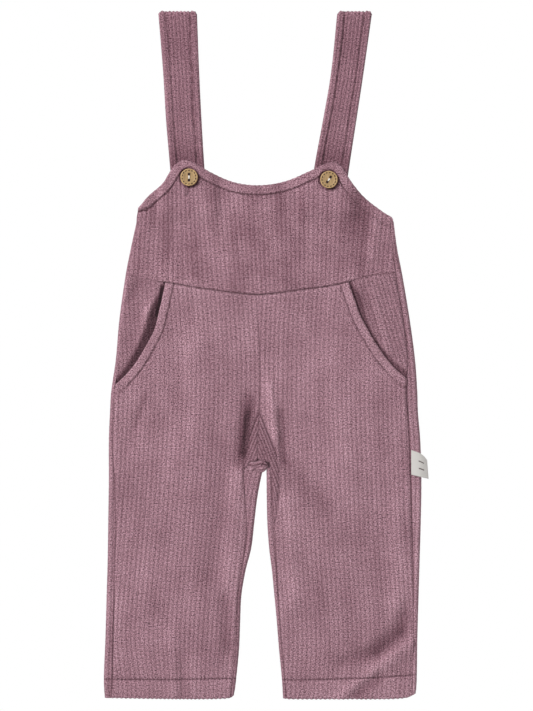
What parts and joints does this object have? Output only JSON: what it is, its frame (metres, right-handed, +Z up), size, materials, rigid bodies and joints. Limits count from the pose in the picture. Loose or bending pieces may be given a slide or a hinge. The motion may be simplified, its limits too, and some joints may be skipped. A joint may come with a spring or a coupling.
{
  "type": "toddler dungarees",
  "caption": "Toddler dungarees in wale corduroy, laid flat front up: bib with buttoned straps, slanted pockets and straight legs.",
  "frame": {"origin": "centre of the garment's outline, on the surface that it lies on", "axes": "+X to the right of someone looking at the front, +Y from the hems to the straps, +Z up from the surface, out of the front"},
  "size_m": [0.2786, 0.592, 0.0111],
  "materials": {
    "corduroy": "dusty mauve wide-wale cotton corduroy with a soft pile",
    "button_wood": "pale turned wood, satin",
    "label_tape": "off-white woven tape"
  },
  "bodies": {
    "root": {"front_bib": "corduroy", "back_bib": "corduroy", "front_leg_left": "corduroy", "back_leg_left": "corduroy", "pocket_facing_left": "corduroy", "strap_left": "corduroy", "front_leg_right": "corduroy", "back_leg_right": "corduroy", "pocket_facing_right": "corduroy", "strap_right": "corduroy", "button_left": "button_wood", "button_right": "button_wood", "side_label": "label_tape"}
  },
  "joints": []
}
